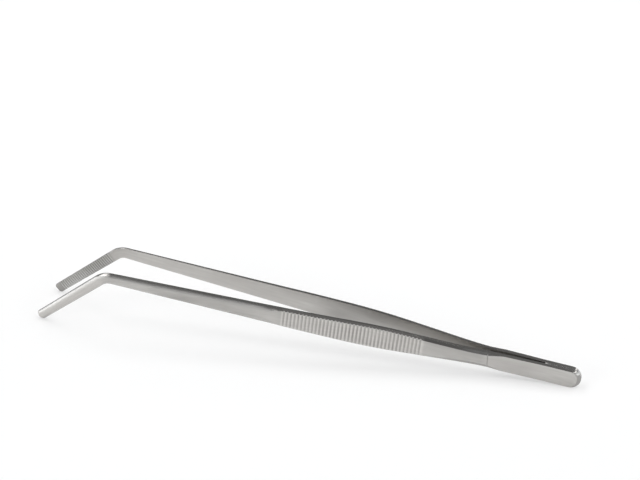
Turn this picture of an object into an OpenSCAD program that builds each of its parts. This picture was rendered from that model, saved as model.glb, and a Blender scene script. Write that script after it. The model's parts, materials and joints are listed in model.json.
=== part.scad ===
// Angled print tongs: two sprung steel arms welded together at the heel, each with a ribbed
// finger grip, a tapered shank, an elbow and a jaw with cross serrations on its inner face.
// The tongs lie on edge on a table, on the lower corner of the heel and on both jaw tips.
// Lengths are in millimetres and angles in degrees.

/* [Heel] */
// Length over which the two arms are welded together
heel_l = 20.2; // [14:0.1:30]
// Width of the arms at the heel
heel_w = 10.1; // [8:0.1:13]
// Thickness of one arm at the heel
heel_t = 2.2; // [1.8:0.05:3.2]
// Corner radius of the heel's end, seen from the side (limited by half the width)
heel_corner_r = 4.6; // [1:0.1:5]
// How far the round of the end, seen from above, reaches back along the outer faces
heel_nose_l = 2; // [0.5:0.1:2.5]
// Thickness of the spacer between the arms
spacer_t = 1.1; // [0.6:0.1:2]
// Corner radius of the spacer's front end
spacer_corner_r = 1.2; // [0.5:0.1:3.5]
// Diameter of a weld nugget
weld_d = 4; // [2:0.1:5]
// Distance between the two weld nuggets
weld_pitch = 8; // [6:0.5:9]
// Depth that a weld nugget reaches into each arm
weld_depth = 1.2; // [0.5:0.1:1.6]

/* [Spring leaf] */
// Length of the flexing stretch, from the weld to the shoulder line
leaf_l = 29.8; // [20:0.1:45]
// Angle at which each leaf leaves the middle plane
leaf_splay = 1.4; // [0.5:0.1:3]
// Width of an arm at the shoulder line
shoulder_w = 9.7; // [7:0.1:12]
// Thickness of an arm at the shoulder line
shoulder_t = 2.35; // [1.8:0.05:3.2]
// Width of an arm at its neck, just ahead of the shoulder line
neck_w = 9.4; // [7:0.1:12]
// Depth of the bevel on the outer edges at the neck
neck_bevel_t = 0.9; // [0.4:0.05:1.5]
// Width of that bevel on the outer face
neck_bevel_w = 1.9; // [0.4:0.1:3]

/* [Grip] */
// Distance from the shoulder line to the first groove
grip_gap = 36.4; // [20:0.1:50]
// Number of grooves across the grip
groove_count = 38; // [10:1:45]
// Distance from groove to groove
groove_pitch = 2; // [1.6:0.1:2.6]
// Depth of a groove
groove_depth = 0.4; // [0.1:0.05:0.7]
// Radius of a groove's round bottom
groove_r = 0.55; // [0.4:0.05:0.75]
// Width of an arm at the grip
grip_w = 13.8; // [9:0.1:16]
// Thickness of an arm at the grip
grip_t = 2.7; // [2.2:0.05:4]
// Depth of the bevel on the outer edges where the grip is widest
grip_bevel_t = 1.3; // [0.4:0.05:1.8]
// Width of that bevel on the outer face
grip_bevel_w = 0.9; // [0.4:0.1:3]
// Distance from the first groove to where the grip is widest
crest_gap = 17.6; // [8:0.1:30]
// Length of the widest stretch
crest_l = 16; // [6:1:30]
// Distance from the first groove to where the arm bends back inwards
bow_gap = 30.6; // [10:0.1:50]
// Length of that bend
bow_l = 36; // [8:1:40]
// Angle of the grip to the middle plane
grip_splay = 4.25; // [2:0.05:5]

/* [Shank] */
// Width of an arm just ahead of the grip
shank_w = 10.5; // [8:0.1:13]
// Length of an arm from the heel's end to the elbow
handle_l = 260.9; // [220:0.1:320]
// Angle of the shank to the middle plane
shank_splay = 2.35; // [0.5:0.05:3]
// Width of an arm at the elbow
elbow_w = 6.3; // [4.5:0.05:9]
// Thickness of an arm at the elbow
elbow_t = 2.2; // [1.6:0.05:3]
// Depth of the crown on the outer face of the shank and the jaw
crown_t = 1.3; // [0.4:0.05:1.55]
// Bend radius of the elbow at the middle of the strip
elbow_r = 9.5; // [5:0.5:14]

/* [Jaw] */
// Length of a jaw from the elbow to the tip
jaw_l = 50.7; // [35:0.1:70]
// Angle between the jaw and the handle
jaw_angle = 45; // [20:1:60]
// Angle of the jaw to the middle plane
jaw_splay = 0.55; // [0:0.1:1.5]
// Width of a jaw at its tip
tip_w = 5.5; // [4:0.1:8]
// Thickness of a jaw at its tip
tip_t = 2; // [1.6:0.05:3]
// Corner radius of the jaw's end
tip_r = 1.7; // [0.8:0.1:1.9]
// Distance from the jaw's end to the first serration
tooth_margin = 4.5; // [2:0.5:8]
// Least distance from the elbow's bend to the last serration
tooth_gap = 3; // [0.5:0.5:8]
// Distance from serration to serration
tooth_pitch = 1.47; // [1.2:0.01:2]
// Depth of a serration
tooth_depth = 0.5; // [0.2:0.05:0.6]

/* [Hidden] */

$fn = 48;
// Room by which a cutter or an outline runs past what it cuts
spare = 2;
// Largest share of its wall that a rounding takes up
round_share = 0.98;

// Places along the strip, measured from the heel's end
shoulder = heel_l + leaf_l;
grip_start = shoulder + grip_gap;
grip_end = grip_start + (groove_count - 1) * groove_pitch;
elbow_tangent = elbow_r * tan(jaw_angle / 2);
elbow_start = handle_l - elbow_tangent;
elbow_end = elbow_start + elbow_r * jaw_angle * PI / 180;
strip_end = elbow_end + jaw_l - elbow_tangent;
tooth_count = 1 + floor((strip_end - tooth_margin - elbow_end - tooth_gap) / tooth_pitch);

// Round corners of the heel's end, and the round over its whole thickness seen from above
heel_end_r = min(heel_corner_r, round_share * heel_w / 2);
heel_side = spacer_t / 2 + heel_t;
heel_nose_r = (pow(heel_side, 2) + pow(heel_nose_l, 2)) / (2 * heel_nose_l);

// Stretches over which the strip changes its direction and its width
heel_bend = 2;
shoulder_bend = 4;
crest_ease = 8;
neck_ease = 10;
crown_ease = 14;
edge_break = 0.2;
crest_start = grip_start + crest_gap;
crest_end = crest_start + crest_l;
bow_start = grip_start + bow_gap;
bow_end = bow_start + bow_l;
neck = shoulder + neck_ease;
crown_start = grip_end + crown_ease;

widths = [[0, heel_w], [heel_l, heel_w], [shoulder, shoulder_w], [neck, neck_w], [crest_start, grip_w],
          [crest_end, grip_w], [crown_start, shank_w], [handle_l, elbow_w], [strip_end, tip_w]];
thicknesses = [[0, heel_t], [heel_l, heel_t], [shoulder, shoulder_t], [grip_start, grip_t],
               [grip_end, grip_t], [elbow_start, elbow_t], [strip_end, tip_t]];

// Bevel of the outer edges, which grows from the shoulder line on, and ahead of the grip turns
// into a curved crown over the whole width
bevel_settled = min(crest_start, grip_end);
bevel_depths = [[shoulder, edge_break], [neck, neck_bevel_t], [bevel_settled, grip_bevel_t],
                [grip_end, grip_bevel_t], [crown_start, crown_t]];
bevel_widths = [[shoulder, edge_break], [neck, neck_bevel_w], [bevel_settled, grip_bevel_w]];
crown_shares = [[grip_end, 0], [crown_start, 1]];
bevel_curves = [[grip_end, 1], [crown_start, 2]];

// Distance gained along a bend whose slope grows evenly from 0 at a to 1 at b
function bend(s, a, b) = s <= a ? 0 : s >= b ? s - (a + b) / 2 : pow(s - a, 2) / (2 * (b - a));

// Distance of the inner face from the middle plane
function inner(s) =
    spacer_t / 2
    + tan(leaf_splay) * bend(s, heel_l, heel_l + heel_bend)
    + (tan(grip_splay) - tan(leaf_splay)) * bend(s, shoulder - shoulder_bend, shoulder + shoulder_bend)
    + (tan(shank_splay) - tan(grip_splay)) * bend(s, bow_start, bow_end)
    + (tan(jaw_splay) - tan(shank_splay)) * bend(s, elbow_start, elbow_end);

// Corner rounding of the jaw's end: what the outline loses at a distance from the end
function end_loss(d, r) = d >= r ? 0 : r - sqrt(max(r * r - pow(r - d, 2), 0));

// Half width, eased between the shoulder and the elbow, and thickness at a place on the strip
function half_width(s) =
    let (e = max(min(crest_ease, s - shoulder, elbow_start - s), 0))
    (lookup(s - e, widths) + 2 * lookup(s, widths) + lookup(s + e, widths)) / 8
    - end_loss(strip_end - s, tip_r);
function thickness(s) = lookup(s, thicknesses) - end_loss(strip_end - s, tip_t / 2);

// Angle that the strip has turned downwards, and its middle line seen from the side
function turn(s) = jaw_angle * min(max((s - elbow_start) / (elbow_end - elbow_start), 0), 1);
function middle(s) =
    s <= elbow_start ? [s, 0]
    : s <= elbow_end ? [elbow_start + elbow_r * sin(turn(s)), elbow_r * (cos(turn(s)) - 1)]
    : [handle_l, 0] + (s - elbow_end + elbow_tangent) * [cos(jaw_angle), -sin(jaw_angle)];

// Pose on the table: the line under the heel's lower corner and the jaw's lower corner is level
jaw_along = [cos(jaw_angle), -sin(jaw_angle)];
jaw_down = [-sin(jaw_angle), -cos(jaw_angle)];
tip_mid = middle(strip_end) - tip_r * jaw_along;
tip_low = tip_mid + (tip_w / 2 - tip_r) * jaw_down;
tip_high = tip_mid - (tip_w / 2 - tip_r) * jaw_down;
heel_low = [heel_end_r, heel_end_r - heel_w / 2];
heel_high = [heel_end_r, heel_w / 2 - heel_end_r];
span = tip_low - heel_low;
rise = asin((tip_r - heel_end_r) / norm(span)) - atan2(span[1], span[0]);
function level(p) = p[0] * sin(rise) + p[1] * cos(rise);
function reach(p) = p[0] * cos(rise) - p[1] * sin(rise);
heel_z = heel_end_r - level(heel_low);
heel_x = (max(reach(tip_high), reach(tip_low)) + tip_r + reach(heel_high) - heel_end_r) / 2;

steel = [0.72, 0.72, 0.7];
weld_steel = [0.6, 0.6, 0.6];

// Turns a strip drawn along +X with its outer face towards +Y into the front arm's place
module on_table() {
    translate([heel_x, 0, heel_z])
        rotate([0, rise, 0])
            rotate([0, 0, 180])
                children();
}

module opposite() {
    mirror([0, 1, 0]) children();
}

// Stands a drawing of the strip's side view up, from one distance outwards to another
module side_view(from, to) {
    translate([0, to, 0])
        rotate([90, 0, 0])
            linear_extrude(to - from)
                children();
}

// Rectangle from the heel's end, with two round corners there
module round_ended(length, width, r) {
    translate([r, -width / 2]) square([length - r, width]);
    translate([0, r - width / 2]) square([r, width - 2 * r]);
    for (side = [-1, 1])
        translate([r, side * (width / 2 - r)]) circle(r);
}

// Weld nuggets, or the seats for them
module nuggets() {
    for (side = [-1, 1])
        translate([(heel_l + side * weld_pitch) / 2, 0, 0])
            rotate([90, 0, 0])
                cylinder(d = weld_d, h = spacer_t + 2 * weld_depth, center = true);
}

module heel() {
    inside = spacer_t / 2;
    difference() {
        intersection() {
            side_view(inside, heel_side) round_ended(heel_l, heel_w, heel_end_r);
            linear_extrude(heel_w + spare, center = true) {
                translate([heel_nose_l, 0]) square([heel_l, heel_side]);
                translate([heel_nose_r, 0]) circle(heel_nose_r);
            }
        }
        nuggets();
    }
}

module spring_leaf() {
    steps = 12;
    places = [for (i = [0:steps]) heel_l + leaf_l * i / steps];
    inner_line = [for (s = places) [s, inner(s)]];
    outer_line = [for (i = [steps:-1:0]) [places[i], inner(places[i]) + thickness(places[i])]];
    deepest = inner(shoulder) + heel_t + shoulder_t;
    intersection() {
        linear_extrude(heel_w + shoulder_w, center = true)
            polygon(concat(inner_line, outer_line));
        side_view(0, deepest)
            polygon([[heel_l, -heel_w / 2], [shoulder, -shoulder_w / 2],
                     [shoulder, shoulder_w / 2], [heel_l, heel_w / 2]]);
    }
}

// One cross section of the arm: flat inside, with the two outer edges bevelled or crowned
function section(s) =
    let (
        h = half_width(s),
        t = thickness(s),
        deep = round_share * min(lookup(s, bevel_depths), t),
        wide = round_share * min(max(lookup(s, bevel_widths), h * lookup(s, crown_shares)), h),
        curve = lookup(s, bevel_curves),
        shares = [for (i = [0:round_steps]) i / round_steps],
        upper = [for (u = shares) [h - wide * u, t - deep * pow(1 - u, curve)]],
        lower = [for (u = shares) [wide * (1 - u) - h, t - deep * pow(u, curve)]],
        outline = concat([[-h, 0], [h, 0]], upper, lower),
        along = middle(s),
        across = [sin(turn(s)), cos(turn(s))]
    )
    [for (p = outline)
        [along[0] + p[0] * across[0], inner(s) + p[1], along[1] + p[0] * across[1]]];
round_steps = 4;

// Places of the arm's cross sections, closer together in the elbow and at the tip
handle_steps = 38;
elbow_steps = 8;
jaw_steps = 4;
tip_steps = 6;
arm_places = concat(
    [for (i = [0:handle_steps - 1]) shoulder + (elbow_start - shoulder) * i / handle_steps],
    [for (i = [0:elbow_steps - 1]) elbow_start + (elbow_end - elbow_start) * i / elbow_steps],
    [for (i = [0:jaw_steps - 1]) elbow_end + (strip_end - tip_r - elbow_end) * i / jaw_steps],
    [for (i = [0:tip_steps]) strip_end - tip_r + tip_r * sin(90 * i / tip_steps)]);

// Skin over a row of cross sections that all have as many points
module skin(rows) {
    n = len(rows[0]);
    last = (len(rows) - 1) * n;
    sides = [for (i = [0:len(rows) - 2], k = [0:n - 1])
        let (a = i * n + k, b = i * n + (k + 1) % n)
        each [[a, b, b + n], [a, b + n, a + n]]];
    start_cap = [for (k = [1:n - 2]) [0, k + 1, k]];
    end_cap = [for (k = [1:n - 2]) [last, last + k, last + k + 1]];
    polyhedron([for (row = rows) each row], concat(sides, start_cap, end_cap));
}

module grip_grooves() {
    for (i = [0:groove_count - 1]) {
        s = grip_start + i * groove_pitch;
        translate([s, inner(s) + thickness(s) + groove_r - groove_depth, 0])
            cylinder(r = groove_r, h = grip_w + spare, center = true);
    }
}

module jaw_serrations() {
    for (i = [0:tooth_count - 1]) {
        s = strip_end - tooth_margin - i * tooth_pitch;
        along = middle(s);
        translate([along[0], inner(s), along[1]])
            rotate([0, jaw_angle, 0])
                cylinder(r = tooth_depth, h = elbow_w + tip_w, center = true, $fn = 4);
    }
}

module arm() {
    difference() {
        skin([for (s = arm_places) section(s)]);
        grip_grooves();
        jaw_serrations();
    }
}

module front_heel() {
    color(steel) on_table() heel();
}

module rear_heel() {
    color(steel) opposite() on_table() heel();
}

module heel_spacer() {
    color(steel)
        on_table()
            difference() {
                side_view(-spacer_t / 2, spacer_t / 2)
                    intersection() {
                        round_ended(heel_l + spare, heel_w, heel_end_r);
                        translate([heel_l, 0])
                            mirror([1, 0])
                                round_ended(heel_l + spare, heel_w, spacer_corner_r);
                    }
                nuggets();
            }
}

module spot_welds() {
    color(weld_steel) on_table() nuggets();
}

module front_spring_leaf() {
    color(steel) on_table() spring_leaf();
}

module rear_spring_leaf() {
    color(steel) opposite() on_table() spring_leaf();
}

module front_arm() {
    color(steel) on_table() arm();
}

module rear_arm() {
    color(steel) opposite() on_table() arm();
}

front_heel();
rear_heel();
heel_spacer();
spot_welds();
front_spring_leaf();
rear_spring_leaf();
front_arm();
rear_arm();
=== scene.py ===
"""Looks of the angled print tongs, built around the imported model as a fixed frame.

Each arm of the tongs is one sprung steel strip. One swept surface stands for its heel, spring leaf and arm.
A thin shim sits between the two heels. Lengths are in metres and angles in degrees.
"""

import json
import logging
import math
from collections.abc import Callable
from dataclasses import dataclass
from enum import Enum
from typing import Union

import bpy
import numpy as np
from mathutils import Matrix


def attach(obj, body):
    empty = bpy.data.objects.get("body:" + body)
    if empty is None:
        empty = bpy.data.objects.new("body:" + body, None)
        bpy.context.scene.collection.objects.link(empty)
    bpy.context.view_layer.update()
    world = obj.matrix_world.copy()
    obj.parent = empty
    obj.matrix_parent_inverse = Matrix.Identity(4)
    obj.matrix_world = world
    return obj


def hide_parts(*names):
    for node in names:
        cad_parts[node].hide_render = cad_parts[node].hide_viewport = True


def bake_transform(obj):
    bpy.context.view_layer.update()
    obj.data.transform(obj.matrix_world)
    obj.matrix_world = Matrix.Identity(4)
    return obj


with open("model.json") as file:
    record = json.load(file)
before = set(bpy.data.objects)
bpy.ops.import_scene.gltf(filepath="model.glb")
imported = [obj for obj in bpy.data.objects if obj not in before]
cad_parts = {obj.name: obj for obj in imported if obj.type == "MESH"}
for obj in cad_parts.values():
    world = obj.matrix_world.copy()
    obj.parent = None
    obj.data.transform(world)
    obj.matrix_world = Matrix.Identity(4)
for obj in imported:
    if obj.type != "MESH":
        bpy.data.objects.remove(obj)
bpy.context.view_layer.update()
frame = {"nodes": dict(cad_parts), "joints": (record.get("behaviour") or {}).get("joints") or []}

log = logging.getLogger("tongs")

MM = 0.001
STRIP_MAP = "strip"
NOISE_MIDDLE = 0.5
Array = np.ndarray
Color = tuple[float, float, float]
Value = Union[float, "Wire"]

# Shares of a stretch where a ring has points. Those next to an edge keep the smooth shading from spreading.
FLAT_SHARES = np.array([0, 0.015, 0.12, 0.3, 0.5, 0.7, 0.88, 0.985])
SIDE_SHARES = np.array([0, 0.03, 0.5, 0.97])
STRAIGHT_SHARES = np.array([0.02, 0.2, 0.5, 0.8, 0.98])
# Places of the rings round a serration, in depths of it from its middle.
NOTCH_PLACES = np.array([-1.16, -1.0, -0.9, -0.5, -0.1, 0, 0.1, 0.5, 0.9, 1.0, 1.16])


class Side(Enum):
    """The two arms, with the sign of the direction that each one's outer face looks along Y."""

    FRONT = -1
    REAR = 1

    @property
    def label(self) -> str:
        """Name of the side as the CAD nodes and bodies spell it."""
        return self.name.lower()


def arithmetic(operation: str, swapped: bool = False) -> Callable[["Wire", Value], "Wire"]:
    """Make an operator that adds one Math node to the tree of a wire.

    Args:
        operation: Blender's name for the operation.
        swapped: Whether the wire stands on the right of the sign, and a number on the left.

    Returns:
        The operator.
    """

    def operator(wire: "Wire", other: Value) -> "Wire":
        """Result of the operation."""
        first, second = (other, wire) if swapped else (wire, other)
        return wire.bench.node("ShaderNodeMath", {"operation": operation}, {0: first, 1: second})

    return operator


class Wire:
    """An output socket of a shader tree. Arithmetic on it adds Math nodes to the tree."""

    def __init__(self, bench: "Bench", socket: bpy.types.NodeSocket) -> None:
        """Keep the socket with the bench it belongs to."""
        self.bench = bench
        self.socket = socket

    __add__ = arithmetic("ADD")
    __radd__ = arithmetic("ADD", swapped=True)
    __sub__ = arithmetic("SUBTRACT")
    __rsub__ = arithmetic("SUBTRACT", swapped=True)
    __mul__ = arithmetic("MULTIPLY")
    __rmul__ = arithmetic("MULTIPLY", swapped=True)


class Bench:
    """A node tree that a finish, the floor or the surroundings are wired up on."""

    def __init__(self, tree: bpy.types.NodeTree) -> None:
        """Take over a tree and clear it."""
        self.tree = tree
        tree.nodes.clear()

    def node(
        self,
        kind: str,
        settings: dict[str, object] | None = None,
        inputs: dict[int | str, object] | None = None,
        output: int | str = 0,
    ) -> Wire:
        """Add a node.

        Args:
            kind: Blender's name for the node's type.
            settings: Properties of the node.
            inputs: A number, color or Wire for each input socket, by its index or name.
            output: The output socket to return.

        Returns:
            The chosen output socket, or the node's first input where it has no output.
        """
        made = self.tree.nodes.new(kind)
        for key, value in (settings or {}).items():
            setattr(made, key, value)
        for key, value in (inputs or {}).items():
            if isinstance(value, Wire):
                self.tree.links.new(value.socket, made.inputs[key])
            else:
                made.inputs[key].default_value = value
        return Wire(self, made.outputs[output] if len(made.outputs) else made.inputs[0])

    def along_strip(self, length: float, width: float) -> Wire:
        """Noise drawn out along the strip, from the piece's own map.

        Args:
            length: Typical length of a streak along the strip.
            width: Typical width of a streak.

        Returns:
            A value around 0.5.
        """
        place = self.node("ShaderNodeUVMap", {"uv_map": STRIP_MAP})
        scaled = self.node(
            "ShaderNodeVectorMath",
            {"operation": "MULTIPLY"},
            {0: place, 1: (1.0 / length, 1.0 / width, 0.0)},
        )
        inputs = {"Vector": scaled, "Scale": 1.0}
        return self.node("ShaderNodeTexNoise", {"noise_dimensions": "2D"}, inputs)

    def attribute(self, name: str) -> Wire:
        """Value of a mesh attribute of the piece."""
        return self.node("ShaderNodeAttribute", {"attribute_name": name}, output="Fac")

    def mix(self, factor: Value, first: Wire | Color, second: Color) -> Wire:
        """Color between two colors by a factor."""
        start = first if isinstance(first, Wire) else (*first, 1.0)
        inputs = {0: factor, 6: start, 7: (*second, 1.0)}
        return self.node("ShaderNodeMix", {"data_type": "RGBA"}, inputs, output=2)

    def metal(self, color: Wire, roughness: Wire, **extra: Wire) -> None:
        """Wire bare metal to the output of a material's tree.

        Args:
            color: Its base color.
            roughness: Its roughness.
            extra: Other inputs of the shader by name.
        """
        inputs = {"Base Color": color, "Metallic": 1.0, "Roughness": roughness, **extra}
        shader = self.node("ShaderNodeBsdfPrincipled", inputs=inputs)
        self.node("ShaderNodeOutputMaterial", inputs={"Surface": shader})


def new_material(name: str) -> tuple[bpy.types.Material, Bench]:
    """Make a material with an empty tree.

    Args:
        name: Name of the material.

    Returns:
        The material and the bench of its tree.
    """
    material = bpy.data.materials.new(name)
    material.use_nodes = True
    return material, Bench(material.node_tree)


@dataclass(frozen=True)
class SatinSteel:
    """Stainless steel ground along the strip, with its edges and its heel end polished, and painted shade and
    a darker tone laid into its colour.
    """

    name: str = "satin_steel"
    pale: Color = (0.682, 0.669, 0.643)
    dark: Color = (0.496, 0.487, 0.467)
    warm: Color = (0.616, 0.588, 0.567)
    warm_share: float = 0.7
    # Dark colour of the painted shade and of the darker tone.
    shade_and_tone_color: Color = (0.16, 0.158, 0.152)
    # Painted edge shade: a darker colour laid on the polished edges, the bevels and the heel's round.
    edge: Color = (0.33, 0.331, 0.333)
    face_roughness: float = 0.36
    streak_roughness: float = 0.10
    polish_gain: float = 0.2
    streak_length: float = 16 * MM
    streak_width: float = 1.1 * MM
    grain_length: float = 5 * MM
    grain_width: float = 0.09 * MM
    mottle_length: float = 26 * MM
    mottle_width: float = 9 * MM
    mottle_roughness: float = 0.05
    grain_height: float = 0.010 * MM
    shade_and_tone_share: float = 0.85
    shade_and_tone_unevenness: float = 1.4
    edge_shade_share: float = 0.25

    def material(self) -> bpy.types.Material:
        """Wire the finish: streaks and fine grain along the strip, a mottled tone, polished edges with
        painted edge shade, and a darker tone that is mostly painted shade.

        Returns:
            The material.
        """
        material, bench = new_material(self.name)
        streak = bench.along_strip(self.streak_length, self.streak_width)
        grain = bench.along_strip(self.grain_length, self.grain_width)
        mottle = bench.along_strip(self.mottle_length, self.mottle_width)
        polish_and_edge_shade = bench.attribute("polish_and_edge_shade")
        stain = bench.attribute("stain") * (1.0 + self.shade_and_tone_unevenness * (mottle - NOISE_MIDDLE))
        ground = bench.mix(streak, self.dark, self.pale)
        steel = bench.mix(mottle * self.warm_share, ground, self.warm)
        # Painted edge shade on the polished points.
        edge_shaded = bench.mix(polish_and_edge_shade * self.edge_shade_share, steel, self.edge)
        # Painted shade: the dark colour goes in the grooves, round the heel's end, on inner faces and on the
        # jaw, besides a darker tone on the outer faces.
        color = bench.mix(stain * self.shade_and_tone_share, edge_shaded, self.shade_and_tone_color)
        roughness = (
            self.face_roughness
            + self.streak_roughness * (streak - NOISE_MIDDLE)
            + self.mottle_roughness * (mottle - NOISE_MIDDLE)
            - self.polish_gain * polish_and_edge_shade
        )
        relief = {"Strength": 1.0, "Distance": self.grain_height, "Height": grain * (1.0 - polish_and_edge_shade)}
        bench.metal(color, roughness, Normal=bench.node("ShaderNodeBump", inputs=relief))
        return material


@dataclass(frozen=True)
class ShimSteel:
    """The spacer's steel: ground flush with the arms, with a painted highlight on its round nose."""

    name: str = "spacer_steel"
    pale: Color = (0.42, 0.417, 0.408)
    dark: Color = (0.35, 0.348, 0.34)
    # Colour of the painted highlight on the nose.
    bright: Color = (0.95, 0.945, 0.935)
    roughness: float = 0.26
    streak_roughness: float = 0.06
    streak_length: float = 6 * MM
    streak_width: float = 0.12 * MM

    def material(self) -> bpy.types.Material:
        """Wire the finish: grinding streaks along the edge, and a painted highlight on the nose.

        Returns:
            The material.
        """
        material, bench = new_material(self.name)
        streak = bench.along_strip(self.streak_length, self.streak_width)
        ground = bench.mix(streak, self.dark, self.pale)
        # Painted highlight: the nose is whitened.
        color = bench.mix(bench.attribute("nose"), ground, self.bright)
        bench.metal(color, self.roughness + self.streak_roughness * (streak - NOISE_MIDDLE))
        return material


@dataclass(frozen=True)
class FusedSteel:
    """Steel that melted and set again inside the heel: dull, with a coarse grain."""

    name: str = "weld_steel"
    pale: Color = (0.5, 0.49, 0.48)
    dark: Color = (0.3, 0.3, 0.31)
    roughness: float = 0.5
    grain_roughness: float = 0.3
    grain_size: float = 0.6 * MM

    def material(self) -> bpy.types.Material:
        """Wire the finish: a coarse grain of pale and dark steel.

        Returns:
            The material.
        """
        material, bench = new_material(self.name)
        place = bench.node("ShaderNodeTexCoord", output="Object")
        grain = bench.node("ShaderNodeTexNoise", inputs={"Vector": place, "Scale": 1.0 / self.grain_size})
        color = bench.mix(grain, self.dark, self.pale)
        bench.metal(color, self.roughness + self.grain_roughness * (grain - NOISE_MIDDLE))
        return material


def rings_object(
    name: str, rings: Array, chart: Array, values: dict[str, Array], turned: bool
) -> bpy.types.Object:
    """Make a closed tube from rings of points, with a flat cap at each end.

    Args:
        name: Name of the piece.
        rings: Points, shaped (rings, points around, 3).
        chart: Map coordinates, shaped (rings, points around + 1, 2), the last column closing the ring.
        values: Mesh attributes by name, each shaped (rings, points around).
        turned: Whether the rings run the other way round, so that the faces have to be turned over.

    Returns:
        The piece, linked to the scene.
    """
    count, around = rings.shape[:2]
    index = np.arange(count * around).reshape(count, around)
    following = np.roll(index, -1, axis=1)
    corners = np.stack([index[:-1], following[:-1], following[1:], index[1:]], axis=-1).reshape(-1, 4)
    spots = np.stack([chart[:-1, :-1], chart[:-1, 1:], chart[1:, 1:], chart[1:, :-1]], axis=2)
    spots = spots.reshape(-1, 4, 2)
    caps = np.stack([index[0, ::-1], index[-1]])
    cap_spots = np.stack([chart[0, -2::-1], chart[-1, :-1]])
    if turned:
        corners, spots = corners[:, ::-1], spots[:, ::-1]
        caps, cap_spots = caps[:, ::-1], cap_spots[:, ::-1]
    loops = np.concatenate([corners.ravel(), caps.ravel()])
    quads = 4 * np.arange(len(corners) + 1)
    starts = np.append(quads, quads[-1] + around)

    mesh = bpy.data.meshes.new(name)
    mesh.vertices.add(count * around)
    mesh.vertices.foreach_set("co", rings.astype(np.float32).ravel())
    mesh.loops.add(len(loops))
    mesh.loops.foreach_set("vertex_index", loops.astype(np.int32))
    mesh.polygons.add(len(starts))
    mesh.polygons.foreach_set("loop_start", starts.astype(np.int32))
    mesh.polygons.foreach_set("use_smooth", np.ones(len(starts), bool))
    mesh.update(calc_edges=True)
    layer = mesh.uv_layers.new(name=STRIP_MAP)
    layer.data.foreach_set("uv", np.concatenate([spots.ravel(), cap_spots.ravel()]).astype(np.float32))
    for key, value in values.items():
        attribute = mesh.attributes.new(key, "FLOAT", "POINT")
        attribute.data.foreach_set("value", value.astype(np.float32).ravel())
    made = bpy.data.objects.new(name, mesh)
    bpy.context.scene.collection.objects.link(made)
    return made


def ring_chart(along: Array, rings: Array) -> Array:
    """Map of a tube: the distance along it, and the distance round the ring from its first point.

    Args:
        along: Distance of each ring along the tube.
        rings: Points, shaped (rings, points around, dimensions).

    Returns:
        Map coordinates, shaped (rings, points around + 1, 2).
    """
    closed = np.concatenate([rings, rings[:, :1]], axis=1)
    steps = np.linalg.norm(np.diff(closed, axis=1), axis=2)
    round_ring = np.concatenate([np.zeros((len(rings), 1)), np.cumsum(steps, axis=1)], axis=1)
    return np.stack([np.broadcast_to(along[:, None], round_ring.shape), round_ring], axis=-1)


def bend(place: Array, start: float, stop: float) -> Array:
    """Distance gained along a bend whose slope grows evenly from 0 at its start to 1 at its stop."""
    inside = np.clip(place - start, 0.0, stop - start)
    return inside**2 / (2 * (stop - start)) + np.maximum(place - stop, 0.0)


def end_loss(distance: Array, radius: float) -> Array:
    """What a quarter circle takes off an outline at a distance from its end."""
    inside = np.clip(1 - distance / radius, 0.0, 1.0)
    return radius * (1 - np.sqrt(1 - inside**2))


def soft_positive(value: Array, softness: float) -> Array:
    """The value where it is above 0 and about 0 elsewhere, rounded over at the change."""
    return (value + np.sqrt(value**2 + softness**2)) / 2


@dataclass(frozen=True)
class Lie:
    """How a strip lies on the table: where its heel end is, and how steeply the handle rises from there."""

    heel_x: float
    heel_z: float
    rise: float

    @classmethod
    def from_hinge(cls, hinge: dict, place: float) -> "Lie":
        """Read the lie from the front squeeze hinge, whose axis stands square on the strip.

        Args:
            hinge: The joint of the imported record.
            place: Distance of the hinge from the heel's end, along the strip.

        Returns:
            The lie of the strip.
        """
        x, _, z = hinge["pos_m"]
        rise = math.atan2(-hinge["axis"][0], -hinge["axis"][2])
        return cls(x + place * math.cos(rise), z - place * math.sin(rise), rise)

    def to_part(self, along: Array, outwards: Array, up: Array) -> Array:
        """Turn distances along the handle, outwards from the middle plane and up its side into points.

        Args:
            along: Distance from the heel's end along the handle.
            outwards: Distance from the middle plane, signed along Y.
            up: Distance up from the handle's middle line.

        Returns:
            Points in the part's frame.
        """
        x = self.heel_x - along * math.cos(self.rise) + up * math.sin(self.rise)
        z = self.heel_z + along * math.sin(self.rise) + up * math.cos(self.rise)
        return np.stack(np.broadcast_arrays(x, outwards, z), axis=-1)


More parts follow.
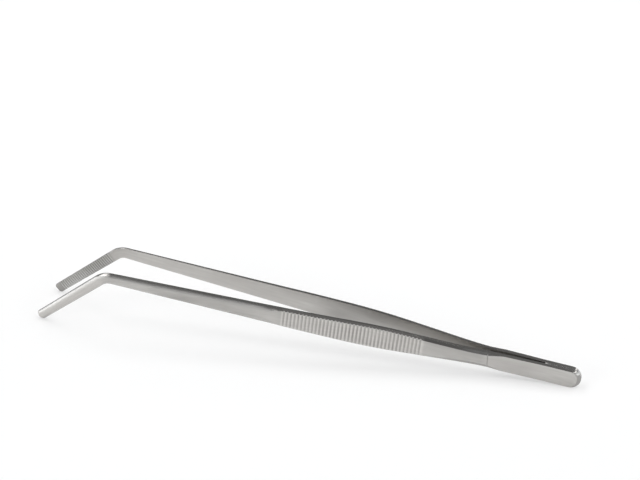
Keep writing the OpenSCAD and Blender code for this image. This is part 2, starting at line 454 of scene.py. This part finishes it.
@dataclass(frozen=True)
class Strip:
    """Sizes of one arm's strip, and its shape at a place, which is a distance along it from the heel's end.

    The tones and shades are shares of the full dark colour, and the shades are painted shade. The powers and
    counts after them shape and divide the surface.
    """

    heel_length: float = 20.2 * MM
    heel_width: float = 10.1 * MM
    heel_thickness: float = 2.2 * MM
    heel_corner: float = 4.6 * MM
    heel_nose: float = 2.0 * MM
    heel_nose_land: float = 0.3 * MM
    heel_lead: float = 1.7 * MM
    heel_polish_depth: float = 0.05 * MM
    heel_bend: float = 2 * MM
    spacer_thickness: float = 1.1 * MM

    leaf_length: float = 29.8 * MM
    leaf_splay: float = 1.4
    shoulder_width: float = 9.7 * MM
    shoulder_thickness: float = 2.35 * MM
    shoulder_bend: float = 4 * MM
    shoulder_line: float = 0.3 * MM
    shoulder_line_width: float = 0.6 * MM
    shoulder_line_slant: float = 0.1
    shoulder_line_reach: float = 1.5
    bevel_lead: float = 8 * MM
    bevel_lead_depth: float = 0.9 * MM
    neck_gap: float = 10 * MM
    neck_width: float = 9.4 * MM
    neck_bevel_depth: float = 0.9 * MM
    neck_bevel_width: float = 1.9 * MM

    grip_gap: float = 36.4 * MM
    groove_count: int = 38
    groove_pitch: float = 2 * MM
    groove_depth: float = 0.4 * MM
    groove_radius: float = 0.55 * MM
    groove_softness: float = 0.05 * MM
    grip_width: float = 13.8 * MM
    grip_thickness: float = 2.7 * MM
    grip_bevel_depth: float = 1.3 * MM
    grip_bevel_width: float = 0.9 * MM
    grip_splay: float = 4.25
    crest_gap: float = 17.6 * MM
    crest_length: float = 16 * MM
    crest_ease: float = 8 * MM
    bow_gap: float = 30.6 * MM
    bow_length: float = 36 * MM

    shank_width: float = 10.5 * MM
    handle_length: float = 260.9 * MM
    shank_splay: float = 2.35
    crown_depth: float = 1.3 * MM
    crown_share: float = 0.97
    crown_ease: float = 14 * MM
    elbow_width: float = 6.3 * MM
    elbow_thickness: float = 2.2 * MM
    elbow_radius: float = 9.5 * MM

    jaw_length: float = 50.7 * MM
    jaw_angle: float = 45
    jaw_splay: float = 0.55
    tip_width: float = 5.5 * MM
    tip_thickness: float = 2 * MM
    tip_corner: float = 1.7 * MM
    tip_edge: float = 0.3 * MM
    tooth_margin: float = 4.5 * MM
    tooth_gap: float = 3 * MM
    tooth_pitch: float = 1.47 * MM
    tooth_depth: float = 0.5 * MM
    tooth_softness: float = 0.03 * MM

    # Darker tones of the outer face, from the heel to the jaw.
    heel_tone: float = 0.38
    leaf_tone: float = 0.26
    face_tone: float = 0.4
    jaw_face_tone: float = 0.13
    # Painted shade: the inner faces, the heel's round end, the grooves and the jaw.
    inner_shade: float = 0.22
    grip_inner_shade: float = 0.2
    end_shade: float = 0.3
    end_line_shade: float = 0.4
    groove_shade: float = 0.54
    jaw_shade: float = 0.76
    land_shade: float = 1.0
    tip_shade: float = 0.72
    notch_shade: float = 0.38
    rim_shade: float = 0.78

    edge_break: float = 0.13 * MM
    jaw_break: float = 0.3 * MM
    breaks_below_bevel: float = 1.5
    crown_polish_power: float = 3
    bevel_steps: int = 9
    break_steps: int = 4
    arc_rings: int = 17
    short_rings: int = 9
    line_rings: int = 31
    bend_rings: int = 41
    heel_ring_gap: float = 2.5 * MM
    ring_gap: float = 2 * MM
    place_digits: int = 7

    @property
    def shoulder(self) -> float:
        """Place of the shoulder line, where the flexing leaf ends."""
        return self.heel_length + self.leaf_length

    @property
    def grip_start(self) -> float:
        """Place of the first groove."""
        return self.shoulder + self.grip_gap

    @property
    def grip_end(self) -> float:
        """Place of the last groove."""
        return self.grip_start + (self.groove_count - 1) * self.groove_pitch

    @property
    def grip_length(self) -> float:
        """Length of the ribbed stretch."""
        return self.groove_count * self.groove_pitch

    @property
    def elbow_tangent(self) -> float:
        """Distance from the corner of the elbow to where its bend starts."""
        return self.elbow_radius * math.tan(math.radians(self.jaw_angle) / 2)

    @property
    def elbow_start(self) -> float:
        """Place where the elbow's bend starts."""
        return self.handle_length - self.elbow_tangent

    @property
    def elbow_end(self) -> float:
        """Place where the elbow's bend stops."""
        return self.elbow_start + self.elbow_radius * math.radians(self.jaw_angle)

    @property
    def end(self) -> float:
        """Place of the jaw's end."""
        return self.elbow_end + self.jaw_length - self.elbow_tangent

    @property
    def bow(self) -> tuple[float, float]:
        """Places between which the arm bends back inwards along the grip."""
        start = self.grip_start + self.bow_gap
        return start, start + self.bow_length

    @property
    def teeth(self) -> Array:
        """Places of the jaw's serrations, from the tip back to the elbow."""
        first = self.end - self.tooth_margin
        count = 1 + math.floor((first - self.elbow_end - self.tooth_gap) / self.tooth_pitch)
        return first - self.tooth_pitch * np.arange(count)

    @property
    def grooves(self) -> Array:
        """Places of the grip's grooves."""
        return self.grip_start + self.groove_pitch * np.arange(self.groove_count)

    def inner(self, place: Array) -> Array:
        """Distance of the inner face from the middle plane: half the spacer, then one bend after another."""
        slopes = np.tan(np.radians([0, self.leaf_splay, self.grip_splay, self.shank_splay, self.jaw_splay]))
        bends = [
            (self.heel_length, self.heel_length + self.heel_bend),
            (self.shoulder - self.shoulder_bend, self.shoulder + self.shoulder_bend),
            self.bow,
            (self.elbow_start, self.elbow_end),
        ]
        gains = [slope * bend(place, *stretch) for slope, stretch in zip(np.diff(slopes), bends)]
        return self.spacer_thickness / 2 + sum(gains)

    def half_width(self, place: Array) -> Array:
        """Half the width: straight tapers, eased round the grip, less the round corners at both ends."""
        crest = self.grip_start + self.crest_gap
        places = [0, self.heel_length, self.shoulder, self.shoulder + self.neck_gap, crest]
        places += [crest + self.crest_length, self.grip_end + self.crown_ease, self.handle_length, self.end]
        widths = [self.heel_width, self.heel_width, self.shoulder_width, self.neck_width, self.grip_width]
        widths += [self.grip_width, self.shank_width, self.elbow_width, self.tip_width]
        ease = np.clip(np.minimum(place - self.shoulder, self.elbow_start - place), 0, self.crest_ease)
        ahead, here, behind = (np.interp(place + shift, places, widths) for shift in (ease, 0, -ease))
        corners = end_loss(self.end - place, self.tip_corner) + end_loss(place, self.heel_corner)
        mean = (ahead + 2 * here + behind) / 4
        return mean / 2 - corners

    def thickness(self, place: Array) -> Array:
        """Thickness: straight tapers, less the rounding of the outer face at the jaw's end."""
        places = [0, self.heel_length, self.shoulder, self.grip_start, self.grip_end]
        places += [self.elbow_start, self.end]
        sizes = [self.heel_thickness, self.heel_thickness, self.shoulder_thickness, self.grip_thickness]
        sizes += [self.grip_thickness, self.elbow_thickness, self.tip_thickness]
        return np.interp(place, places, sizes) - end_loss(self.end - place, self.tip_thickness / 2)

    @property
    def heel_nose_depth(self) -> float:
        """What the round of the heel's end takes off the outer face right at the end."""
        return self.heel_thickness - self.heel_nose_land

    def heel_share(self, place: Array, beside: Array) -> Array:
        """How much of the heel's round is left towards the sides.

        It is the squared cosine of the angle to the strip's length, seen from the foot of the round's lead.

        Args:
            place: Places along the strip.
            beside: Distances up or down from the centres of the end's corners.

        Returns:
            The share: 1 straight at the end, 0 where the lead starts.
        """
        ahead = np.maximum(self.heel_corner + self.heel_lead - place, 0)
        return ahead**2 / np.maximum(ahead**2 + beside**2, self.edge_break**2)

    def heel_loss(self, place: Array, up: Array) -> Array:
        """What the round of the heel's end takes off the outer face.

        An arc about the middle plane, over both heels and the spacer, falls off towards the round outline of
        the end. It is longest and deepest straight at the end. Towards the sides it shrinks with the heel's
        share, down to the broken edge.

        Args:
            place: Places along the strip.
            up: Distances up from its middle line.

        Returns:
            The loss, 0 inside the round.
        """
        ahead = np.maximum(self.heel_corner - place, 0)
        beside = np.maximum(np.abs(up) - self.heel_width / 2 + self.heel_corner, 0)
        ray = np.maximum(np.hypot(ahead, beside), self.edge_break)
        share = self.heel_share(place, beside)
        reach = self.edge_break + (self.heel_nose - self.edge_break) * share
        inside = self.heel_nose * np.clip((self.heel_corner - ray) / reach, 0, 1)
        half = self.heel_thickness + self.spacer_thickness / 2
        radius = (half**2 + self.heel_nose**2) / (2 * self.heel_nose)
        left = np.sqrt(np.maximum(radius**2 - (radius - inside) ** 2, 0))
        arc = np.minimum(half - left, self.heel_nose_depth)
        return arc * (self.edge_break / self.heel_nose_depth * (1 - share) + share)

    def bevel(self, place: Array) -> tuple[Array, Array, Array]:
        """Bevel of the outer edges: its width on the face, its depth and the power that curves it.

        The edges are only broken on the leaf. A straight bevel grows just behind the shoulder line, and past
        the grip it turns into a parabola that crowns the whole face. At the heel's end it gives the round's
        rim.
        """
        places = [self.shoulder - self.bevel_lead, self.shoulder, self.shoulder + self.neck_gap]
        places += [self.grip_start + self.crest_gap, self.grip_end, self.grip_end + self.crown_ease]
        crowned = np.interp(place, places[-2:], [0, 1])
        ahead = np.maximum(self.heel_corner - place, 0)
        heel = self.heel_share(place, np.sqrt(self.heel_corner**2 - ahead**2))
        depths = [self.edge_break, self.bevel_lead_depth, self.neck_bevel_depth]
        depths += [self.grip_bevel_depth, self.grip_bevel_depth]
        widths = [self.edge_break, self.neck_bevel_width, self.neck_bevel_width]
        widths += [self.grip_bevel_width, self.grip_bevel_width]
        crown = self.half_width(place) * crowned * self.crown_share
        wide = np.maximum(np.interp(place, places[:-1], widths), crown) + self.heel_nose * heel
        deep = np.interp(place, places, [*depths, self.crown_depth])
        return wide, deep + (self.heel_nose_depth - self.edge_break) * heel, 1 + crowned

    def turn(self, place: Array) -> Array:
        """Angle in radians that the strip has turned downwards: none on the handle, all of it on the jaw."""
        share = np.clip((place - self.elbow_start) / (self.elbow_end - self.elbow_start), 0, 1)
        return math.radians(self.jaw_angle) * share

    def middle(self, place: Array) -> tuple[Array, Array]:
        """Middle line seen from the side: the straight handle, an arc at the elbow, then the straight jaw."""
        turn = self.turn(place)
        past = np.maximum(place - self.elbow_end, 0)
        handle = np.minimum(place, self.elbow_start)
        along = handle + self.elbow_radius * np.sin(turn) + past * np.cos(turn)
        up = self.elbow_radius * (np.cos(turn) - 1) - past * np.sin(turn)
        return along, up

    def groove(self, place: Array) -> Array:
        """Depth cut from the outer face along the grip: round grooves."""
        nearest = np.clip(np.round((place - self.grip_start) / self.groove_pitch), 0, self.groove_count - 1)
        off = place - self.grip_start - nearest * self.groove_pitch
        circle = np.sqrt(np.maximum(self.groove_radius**2 - off**2, 0))
        grooves = soft_positive(self.groove_depth - self.groove_radius + circle, self.groove_softness)
        return grooves * (np.abs(off) < self.groove_pitch)

    def shoulder_cut(self, place: Array, up: Array) -> Array:
        """Depth cut from the outer face at the shoulder: a fine V line that leans over a little."""
        off = np.abs(place - self.shoulder - self.shoulder_line_slant * up)
        return self.shoulder_line * np.maximum(1 - off / (self.shoulder_line_width / 2), 0)

    def tooth(self, place: Array) -> Array:
        """Depth cut from the inner face: straight V serrations on the jaw, and a round edge at the tip."""
        off = np.abs(place[:, None] - self.teeth[None, :]).min(axis=1)
        cuts = soft_positive(self.tooth_depth - off, self.tooth_softness) * (off < self.tooth_pitch)
        return np.maximum(cuts, end_loss(self.end - place, self.tip_edge))

    def places(self) -> Array:
        """Places of the rings: close together where the shape turns or is cut, wide apart elsewhere."""
        quarter = np.linspace(0, np.pi / 2, self.arc_rings)
        wave = np.linspace(-0.5, 0.5, self.arc_rings)[:-1]
        line = self.shoulder_line_reach * self.shoulder_line_width
        parts = [
            self.heel_corner * (1 - np.cos(quarter)),
            self.heel_nose * (1 - np.cos(quarter)),
            self.heel_nose + self.edge_break * np.array([-1, -0.5, 0.5, 1]),
            np.linspace(self.heel_corner, self.heel_corner + self.heel_lead, self.short_rings),
            np.arange(self.heel_corner, self.shoulder, self.heel_ring_gap),
            self.heel_length + self.heel_bend * np.linspace(0, 1, self.short_rings),
            self.shoulder + line * np.linspace(-1, 1, self.line_rings),
            np.linspace(self.shoulder - self.bevel_lead, self.shoulder + self.neck_gap, self.bend_rings),
            np.arange(self.shoulder, self.elbow_start, self.ring_gap),
            (self.grooves[:, None] + self.groove_pitch * wave[None, :]).ravel(),
            np.linspace(self.elbow_start, self.elbow_end, self.bend_rings),
            np.arange(self.elbow_end, self.end - self.tip_corner, self.ring_gap),
            (self.teeth[:, None] + self.tooth_depth * NOTCH_PLACES[None, :]).ravel(),
            self.end - self.tip_corner * (1 - np.sin(quarter)),
            self.end - self.tip_thickness / 2 * (1 - np.sin(quarter)),
            self.end - self.tip_edge * (1 - np.sin(quarter)),
        ]
        found = np.unique(np.round(np.concatenate(parts), self.place_digits))
        return found[(found >= 0) & (found <= self.end)]

    def blank(self, place: Array) -> tuple[Array, Array, Array, Array]:
        """Cross sections before they are cut: flat faces, straight sides and bevelled outer edges.

        The ring starts on the inner face's lower edge, runs up that face and comes back down the outer one.

        Args:
            place: Places along the strip.

        Returns:
            Distances up and outwards from the middle of the inner face and how polished each point is, which
            also sets its painted edge shade, all shaped (places, points around), and which points around are
            on the outer face, 1 or 0.
        """
        half = self.half_width(place)[:, None]
        thick = self.thickness(place)[:, None]
        wide, deep, curve = (size[:, None] for size in self.bevel(place))
        breaks = [self.edge_break, self.jaw_break]
        small = np.interp(place, [self.elbow_start, self.elbow_end], breaks)[:, None]
        wide = np.minimum(wide, self.crown_share * half)
        deep = np.minimum(deep, thick - self.breaks_below_bevel * small)
        flat, side = FLAT_SHARES, SIDE_SHARES
        rise = np.linspace(1, 0, self.bevel_steps)[:-1]
        fall = 1 - rise
        nick = np.linspace(0, np.pi / 2, self.break_steps)[:-1]
        ups = [
            (half - small) * (2 * flat - 1),
            half - small + small * np.sin(nick),
            half + 0 * side,
            half - wide * fall,
            (half - wide) * (1 - 2 * flat),
            wide * rise - half,
            -half + 0 * side,
            small - half - small * np.cos(nick),
        ]
        outs = [
            0 * half + 0 * flat,
            small - small * np.cos(nick),
            small + (thick - deep - small) * side,
            thick - deep * rise**curve,
            thick + 0 * flat,
            thick - deep * fall**curve,
            small + (thick - deep - small) * (1 - side),
            small - small * np.sin(nick),
        ]
        # A straight bevel is polished and takes the painted edge shade all over, and a crowned face only
        # towards its rim.
        rim = self.crown_polish_power * (curve - 1)
        dull, bright = 0 * half, 0 * half + 1
        shine = [dull + 0 * flat, bright + 0 * nick, bright + 0 * side, rise**rim]
        shine += [dull + 0 * flat, fall**rim, bright + 0 * side, bright + 0 * nick]
        sizes = [len(part[0]) for part in shine]
        outer = np.repeat([0.0, 0.0, 0.0, 1.0, 1.0, 1.0, 0.0, 0.0], sizes)
        up, out, polish_and_edge_shade = (np.concatenate(parts, axis=1) for parts in (ups, outs, shine))
        return up, out, polish_and_edge_shade, outer

    def sections(self, place: Array) -> tuple[Array, dict[str, Array]]:
        """Cross sections: the blank with its heel end rounded, clipped by the grooves and the serrations.

        Args:
            place: Places along the strip.

        Returns:
            Points (up, outwards) of each ring from the middle of the inner face, and two values of each
            point: how polished it is, which also sets its painted edge shade, and how much it is darkened,
                mostly
            by painted shade.
        """
        up, whole, polish_and_edge_shade, outer = self.blank(place)
        thick = self.thickness(place)[:, None]
        loss = self.heel_loss(place[:, None], up)
        heel_face = (outer > 0) & (place < self.heel_corner + self.heel_lead)[:, None]
        rounded = np.where(heel_face, np.clip(loss / self.heel_polish_depth, 0, 1), 0)
        whole, polish_and_edge_shade = np.where(heel_face, thick - loss, whole), np.where(heel_face, rounded, polish_and_edge_shade)
        grooves = self.groove(place)[:, None] + self.shoulder_cut(place[:, None], up)
        cut = np.clip(whole, self.tooth(place)[:, None], thick - grooves)
        # Darker tone on the outer face and painted shade on the inner face, then more painted shade below.
        stain = np.where(outer > 0, self.outer_tone(place), self.lining_shade(place))
        # Painted shade in the grooves and the shoulder line, darker where the cut is deeper.
        stain += self.groove_shade * np.maximum(whole - cut, 0) / self.groove_depth
        # Painted shade over the heel's round end, with a painted dark line halfway round it.
        half_way = 4 * rounded * (1 - rounded)
        stain += self.end_shade * rounded + self.end_line_shade * half_way
        # Painted shade on the jaw's lands and tip, and a painted dark rim on its polished edges.
        landed = self.jaw_share(place) * (1 - outer) * (1 - np.clip((cut - whole) / self.tip_edge, 0, 1))
        stain += landed * (np.where(polish_and_edge_shade > 0, self.rim_shade, self.bite_shade(place)) - stain)
        return np.stack([up, cut], axis=-1), {"polish_and_edge_shade": polish_and_edge_shade, "stain": np.clip(stain, 0, 1)}

    def outer_tone(self, place: Array) -> Array:
        """Darker tone of the outer face along the strip, shaped (places, 1). The ribs of the grip get none.
        """
        worn = [0, self.shoulder, self.shoulder + self.shoulder_bend, self.elbow_start, self.elbow_end]
        stains = [self.heel_tone, self.leaf_tone, self.face_tone, self.face_tone, self.jaw_face_tone]
        ribbed = np.abs(place - (self.grip_start + self.grip_end) / 2) < self.grip_length / 2
        return (np.interp(place, worn, stains) * (1 - ribbed))[:, None]

    def jaw_share(self, place: Array) -> Array:
        """1 on the serrated jaw and 0 behind it, shaped (places, 1)."""
        back = self.teeth.min()
        return np.interp(place, [back - self.tooth_pitch, back], [0, 1])[:, None]

    def lining_shade(self, place: Array) -> Array:
        """Painted shade of the inner face, most at the grip, and of the jaw's notches, shaped (places, 1)."""
        # Painted shade of dark reflections on the inner face, strongest at the middle of the grip.
        mid_grip = np.clip(1 - np.abs(2 * place - self.grip_start - self.grip_end) / self.grip_length, 0, 1)
        eased = mid_grip**2 * (3 - 2 * mid_grip)
        inner = self.inner_shade + self.grip_inner_shade * eased
        near_tip = np.interp(place, [self.teeth.min(), self.end], [0, 1])[:, None]
        return inner[:, None] * (1 - self.jaw_share(place)) + self.notch_shade * near_tip

    def bite_shade(self, place: Array) -> Array:
        """Painted shade of the jaw's lands between the notches and of its plain tip, shaped (places, 1)."""
        back, front = self.teeth.min(), self.teeth.max()
        stains = [self.jaw_shade, self.land_shade, self.tip_shade]
        return np.interp(place, [back, front, front + self.tooth_pitch], stains)[:, None]

    def rings(self, place: Array, lie: Lie, side: Side) -> Array:
        """Carry the cross sections along the middle line, each one turned with it, into the part's frame.

        Args:
            place: Places along the strip.
            lie: How the strip lies on the table.
            side: Which arm it is.

        Returns:
            Points, shaped (places, points around, 3).
        """
        points, _ = self.sections(place)
        turn = self.turn(place)[:, None]
        along, up = (line[:, None] for line in self.middle(place))
        across = points[..., 0]
        outwards = self.inner(place)[:, None] + points[..., 1]
        return lie.to_part(along + across * np.sin(turn), side.value * outwards, up + across * np.cos(turn))


@dataclass
class Arm:
    """One arm of the tongs, from the heel to the jaw's tip, as one sprung strip."""

    side: Side
    strip: Strip
    lie: Lie

    def build(self, steel: bpy.types.Material) -> bpy.types.Object:
        """Make the strip and dress it.

        Args:
            steel: The arms' finish.

        Returns:
            The piece.
        """
        place = self.strip.places()
        points, values = self.strip.sections(place)
        arm = rings_object(
            f"{self.side.label}_strip",
            self.strip.rings(place, self.lie, self.side),
            ring_chart(place, points),
            values,
            self.side is Side.FRONT,
        )
        arm.data.materials.append(steel)
        label = self.side.label
        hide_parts(f"{label}_heel", f"{label}_spring_leaf", f"{label}_arm")
        start, end = self._middle_points(self.strip.heel_length, self.strip.shoulder)
        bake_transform(arm)
        return arm

    def _middle_points(self, *places: float) -> Array:
        """Points on the handle's middle line at these places."""
        along = np.array(places)
        outwards = self.side.value * self.strip.inner(along)
        return self.lie.to_part(along, outwards, np.zeros_like(along))


@dataclass
class HeelSpacer:
    """The thin shim that the two heels are welded to, with a round nose in the slot between the arms that
    carries a painted highlight.
    """

    strip: Strip
    lie: Lie
    nose_corner: float = 1.2 * MM
    nose_glint_reach: float = 1.0 * MM
    nose_glint_fade: float = 0.6 * MM
    stand_out: float = 0.03 * MM
    edge: float = 0.12 * MM
    arc_steps: int = 17
    edge_steps: int = 5

    def outline(self, inset: Array) -> Array:
        """Side view: a rectangle with four round corners, drawn in by an inset.

        Each corner is an arc round its own centre, and a few points lie along the straight stretch after it.

        Args:
            inset: Distances to draw the outline in by.

        Returns:
            Points (along, up), shaped (insets, points, 2).
        """
        length, half = self.strip.heel_length, self.strip.heel_width / 2
        corners = [
            (0.0, -1, self.strip.heel_corner, 180),
            (length, -1, self.nose_corner, 270),
            (length, 1, self.nose_corner, 0),
            (0.0, 1, self.strip.heel_corner, 90),
        ]
        arcs = []
        for end, side, radius, start in corners:
            inwards = 1 if end == 0 else -1
            centre = np.array([end + inwards * radius, side * (half - radius)])
            angle = np.radians(start + np.linspace(0, 90, self.arc_steps))
            ray = np.stack([np.cos(angle), np.sin(angle)], axis=-1)
            arcs.append(centre + (radius - inset)[:, None, None] * ray[None])
        share = STRAIGHT_SHARES[None, :, None]
        parts = []
        for arc, following in zip(arcs, arcs[1:] + arcs[:1]):
            parts += [arc, arc[:, -1:] * (1 - share) + following[:, :1] * share]
        return np.concatenate(parts, axis=1)

    def build(self, steel: bpy.types.Material) -> bpy.types.Object:
        """Make the shim: its side view carried across the thickness, with both rims rounded over.

        Args:
            steel: The shim's finish.

        Returns:
            The piece.
        """
        quarter = np.linspace(0, np.pi / 2, self.edge_steps)
        half = self.strip.spacer_thickness / 2
        rim_in = self.edge * (1 - np.sin(quarter))
        rim_out = half - self.edge * (1 - np.cos(quarter))
        inset = np.concatenate([rim_in, rim_in[::-1]]) - self.stand_out
        across = np.concatenate([-rim_out, rim_out[::-1]])
        outline = self.outline(inset)
        rings = self.lie.to_part(outline[..., 0], across[:, None], outline[..., 1])
        behind = self.strip.heel_length - outline[..., 0]
        # Painted highlight: how much of the nose is whitened, fading back from its end.
        nose = np.clip(1 - (behind - self.nose_glint_reach) / self.nose_glint_fade, 0, 1)
        chart = ring_chart(across, rings)[..., ::-1]
        shim = rings_object("heel_shim", rings, chart, {"nose": nose}, False)
        shim.data.materials.append(steel)
        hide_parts("heel_spacer")
        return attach(shim, "heel_assembly")


@dataclass
class WeldNuggets:
    """The two weld nuggets inside the heel, which keep their CAD shape."""

    node: str = "spot_welds"

    def dress(self, steel: bpy.types.Material) -> bpy.types.Object:
        """Give the nuggets their finish.

        Args:
            steel: The fused steel.

        Returns:
            The CAD node's object.
        """
        nuggets = frame["nodes"][self.node]
        nuggets.data.materials.clear()
        nuggets.data.materials.append(steel)
        return nuggets


@dataclass(frozen=True)
class SoftBox:
    """One soft lamp of the studio, which looks at the tongs."""

    name: str
    azimuth: float
    elevation: float
    distance: float = 2.0
    width: float = 2.2
    height: float = 0.9
    radiance: float = 2.88

    def build(self) -> bpy.types.Object:
        """Hang the lamp: its power is its radiance times its area times pi.

        Returns:
            The lamp.
        """
        lamp = bpy.data.lights.new(self.name, "AREA")
        lamp.shape = "RECTANGLE"
        lamp.size, lamp.size_y = self.width, self.height
        lamp.energy = self.radiance * math.pi * self.width * self.height
        made = bpy.data.objects.new(self.name, lamp)
        made.matrix_world = looking_matrix(self.azimuth, self.elevation, self.distance, np.zeros(3))
        made.visible_camera = False
        bpy.context.scene.collection.objects.link(made)
        return made


def looking_matrix(azimuth: float, elevation: float, distance: float, aim: Array) -> Matrix:
    """Place of something that looks at a point along its own -Z, with its own X level.

    Args:
        azimuth: Direction that it stands in, 0 on the -Y side and 90 on the +X side.
        elevation: Angle above the horizon.
        distance: Distance from the point.
        aim: The point.

    Returns:
        The matrix, with the columns right, up, back and place.
    """
    turn, lift = math.radians(azimuth), math.radians(elevation)
    right = np.array([math.cos(turn), math.sin(turn), 0.0])
    level = np.array([math.sin(turn), -math.cos(turn), 0.0])
    back = math.cos(lift) * level + np.array([0.0, 0.0, math.sin(lift)])
    up = np.cross(back, right)
    matrix = np.eye(4)
    matrix[:3] = np.stack([right, up, back, aim + distance * back], axis=1)
    return Matrix(matrix.tolist())


@dataclass(frozen=True)
class Studio:
    """A white table in a dim room with a bright horizon, lit by two large soft lamps and two small ones."""

    floor_size: float = 12.0
    floor_color: Color = (0.95, 0.95, 0.95)
    floor_lift: float = 0.45
    mirrored_lift: float = 0.35
    horizon: Color = (0.955, 0.98, 1.0)
    front_glow: float = 0.6
    left_glow: float = 2.6
    right_glow: float = 1.9
    left_azimuth: float = -62.0
    right_azimuth: float = 90.0
    left_rise: float = 0.04
    right_rise: float = 0.55
    ceiling: Color = (0.2, 0.2, 0.2)
    horizon_top: float = 0.5
    ceiling_foot: float = 13.0
    lamps: tuple[SoftBox, ...] = (
        SoftBox("left_lamp", -105.0, 60.0),
        SoftBox("right_lamp", 108.0, 60.0),
        SoftBox("elbow_lamp", -40.0, 26.0, width=0.8, height=0.5, radiance=4.3),
        SoftBox("heel_lamp", 155.0, 28.0, width=0.4, height=0.35, radiance=2.0),
    )
    camera_azimuth: float = 14.94
    camera_elevation: float = 32.51
    camera_distance: float = 1.07667
    camera_aim: tuple[float, float, float] = (1.71 * MM, 22.91 * MM, 52.96 * MM)
    lens: float = 112.5
    sensor: float = 36.0

    def build(self) -> None:
        """Set up the camera, the floor, the lamps and the surroundings."""
        bpy.context.scene.view_settings.view_transform = "Standard"
        self._camera()
        self._floor()
        self._surroundings()
        for lamp in self.lamps:
            lamp.build()

    def _camera(self) -> None:
        """Stand the camera where the photograph was taken from."""
        camera = bpy.data.cameras.new("camera")
        camera.lens = self.lens
        camera.sensor_width = self.sensor
        made = bpy.data.objects.new("camera", camera)
        made.matrix_world = looking_matrix(
            self.camera_azimuth, self.camera_elevation, self.camera_distance, np.array(self.camera_aim)
        )
        bpy.context.scene.collection.objects.link(made)
        bpy.context.scene.camera = made

    def _floor(self) -> None:
        """Lay the table top, which keeps the shadow and looks white by itself and in the steel."""
        reach = self.floor_size / 2
        x, y = np.meshgrid([-reach, reach], [-reach, reach])
        points = np.stack([x, y, np.zeros_like(x)], axis=-1).reshape(-1, 3)
        mesh = bpy.data.meshes.new("floor")
        mesh.from_pydata(points.tolist(), [], [(0, 1, 3, 2)])
        floor = bpy.data.objects.new("floor", mesh)
        bpy.context.scene.collection.objects.link(floor)
        material, bench = new_material("white_table")
        rays = ("Camera", "Glossy", "Transmission")
        seen = [bench.node("ShaderNodeLightPath", output=f"Is {ray} Ray") for ray in rays]
        matt = bench.node("ShaderNodeBsdfDiffuse", inputs={"Color": (*self.floor_color, 1.0)})
        glow = bench.node("ShaderNodeEmission", inputs={"Color": (1.0, 1.0, 1.0, 1.0), "Strength": 1.0})
        lift = self.floor_lift * seen[0] + self.mirrored_lift * (seen[1] + seen[2])
        shader = bench.node("ShaderNodeMixShader", inputs={0: lift, 1: matt, 2: glow})
        bench.node("ShaderNodeOutputMaterial", inputs={"Surface": shader})
        mesh.materials.append(material)

    @staticmethod
    def _facing(bench: Bench, direction: Wire, azimuth: float) -> Wire:
        """How squarely a direction faces a compass point: 1 straight towards it, 0 beside and behind.

        Args:
            bench: Maker of the nodes.
            direction: The direction looked in.
            azimuth: The compass point in degrees, 0 in front and 90 to the right.

        Returns:
            The cosine of the angle between them, never below 0.
        """
        turn = math.radians(azimuth)
        point = (math.sin(turn), -math.cos(turn), 0.0)
        inputs = {0: direction, 1: point}
        cosine = bench.node("ShaderNodeVectorMath", {"operation": "DOT_PRODUCT"}, inputs, output="Value")
        return bench.node("ShaderNodeMath", {"operation": "MAXIMUM"}, {0: cosine, 1: 0.0})

    def _surroundings(self) -> None:
        """Shade the room from a bright horizon, brightest and highest at the sides, up to a dim ceiling."""
        world = bpy.data.worlds.new("studio")
        world.use_nodes = True
        bpy.context.scene.world = world
        bench = Bench(world.node_tree)
        direction = bench.node("ShaderNodeTexCoord", output="Generated")
        height = bench.node("ShaderNodeSeparateXYZ", inputs={0: direction}, output="Z")
        azimuths = (self.left_azimuth, self.right_azimuth)
        left, right = (self._facing(bench, direction, azimuth) for azimuth in azimuths)
        far_left, far_right = left * left * left * left, right * right
        rise = self.left_rise * left + self.right_rise * right
        share = bench.node(
            "ShaderNodeMapRange",
            {"interpolation_type": "SMOOTHSTEP"},
            {
                "Value": height - rise,
                "From Min": math.sin(math.radians(self.horizon_top)),
                "From Max": math.sin(math.radians(self.ceiling_foot)),
            },
        )
        glow = self.front_glow + self.left_glow * far_left + self.right_glow * far_right
        low = bench.node("ShaderNodeBackground", inputs={"Color": (*self.horizon, 1.0), "Strength": glow})
        high = bench.node("ShaderNodeBackground", inputs={"Color": (*self.ceiling, 1.0), "Strength": 1.0})
        shader = bench.node("ShaderNodeMixShader", inputs={0: share, 1: low, 2: high})
        bench.node("ShaderNodeOutputWorld", inputs={"Surface": shader})


def main() -> None:
    """Build the studio and the pieces in order, and report each piece."""
    logging.basicConfig(level=logging.INFO, format="%(message)s")
    Studio().build()
    strip = Strip()
    hinge = next(joint for joint in frame["joints"] if joint["name"] == "front_squeeze")
    lie = Lie.from_hinge(hinge, strip.heel_length + strip.leaf_length / 2)
    satin = SatinSteel().material()
    pieces = [Arm(side, strip, lie).build(satin) for side in Side]
    pieces.append(HeelSpacer(strip, lie).build(ShimSteel().material()))
    pieces.append(WeldNuggets().dress(FusedSteel().material()))
    for piece in pieces:
        log.info("%s: %d faces", piece.name, len(piece.data.polygons))


if __name__ == "__main__":
    main()
